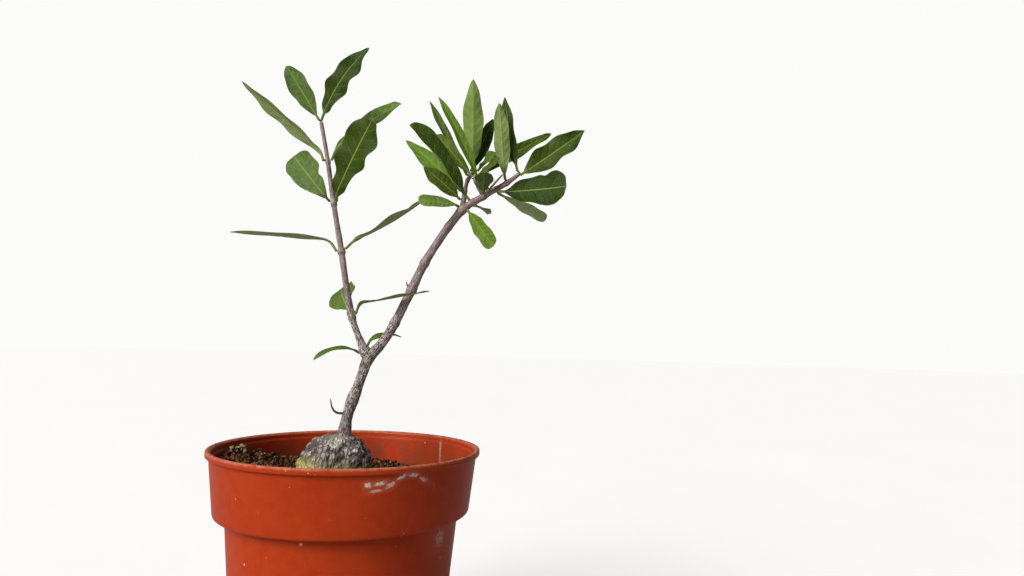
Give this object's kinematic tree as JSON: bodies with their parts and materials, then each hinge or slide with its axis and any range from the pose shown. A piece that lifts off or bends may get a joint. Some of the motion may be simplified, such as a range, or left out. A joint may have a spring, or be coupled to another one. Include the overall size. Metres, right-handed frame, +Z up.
{
  "type": "potted fockea",
  "caption": "Young caudex plant with knobbly swollen base, forked woody stem and narrow wavy leaves, in a round terracotta-coloured plastic nursery pot.",
  "frame": {"origin": "centre of the pot's underside, on the plane it stands on", "axes": "+Z up, -Y towards the front, +X towards the side the longer stem leans to"},
  "size_m": [0.1435, 0.105, 0.2558],
  "materials": {
    "terracotta_plastic": "moulded plastic, slightly glossy, scuffed with lime marks",
    "soil": "loose dark potting soil, rough",
    "caudex_bark": "warty grey corky skin, greenish near the soil",
    "stem_bark": "smooth to finely fissured grey-brown bark",
    "dry_bark": "dry tan twig",
    "green_shoot": "thin dark green shoot",
    "leaf": "waxy, satin, with a pale midrib and a paler underside"
  },
  "bodies": {
    "root": {"caudex": "caudex_bark", "dry_spur": "dry_bark", "dry_twig": "dry_bark", "leaf_left_1a": "leaf", "leaf_left_1b": "leaf", "leaf_left_2a": "leaf", "leaf_left_2b": "leaf", "leaf_left_3a": "leaf", "leaf_left_3b": "leaf", "leaf_left_4a": "leaf", "leaf_left_4b": "leaf", "leaf_left_5a": "leaf", "leaf_left_5b": "leaf", "leaf_left_6a": "leaf", "leaf_left_6b": "leaf", "leaf_tuft_arched": "leaf", "leaf_tuft_big_left": "leaf", "leaf_tuft_broad": "leaf", "leaf_tuft_brown": "leaf", "leaf_tuft_centre": "leaf", "leaf_tuft_curled": "leaf", "leaf_tuft_dark_right": "leaf", "leaf_tuft_dark_stub": "leaf", "leaf_tuft_far_dark": "leaf", "leaf_tuft_far_left": "leaf", "leaf_tuft_far_right": "leaf", "leaf_tuft_green": "leaf", "leaf_tuft_hanging": "leaf", "leaf_tuft_level": "leaf", "leaf_tuft_olive": "leaf", "leaf_tuft_pale": "leaf", "leaf_tuft_pale_under": "leaf", "leaf_tuft_right": "leaf", "leaf_tuft_thin": "leaf", "leaf_tuft_thin_far": "leaf", "leaf_tuft_upright": "leaf", "left_stem": "stem_bark", "middle_shoot": "stem_bark", "outer_shoot": "stem_bark", "pot": "terracotta_plastic", "right_stem": "stem_bark", "soil": "soil", "soil_crumb_bark": "soil", "soil_crumb_grit": "soil", "soil_crumb_mossy": "soil", "trunk": "stem_bark", "trunk_sprout": "green_shoot", "upright_shoot": "stem_bark"}
  },
  "joints": []
}
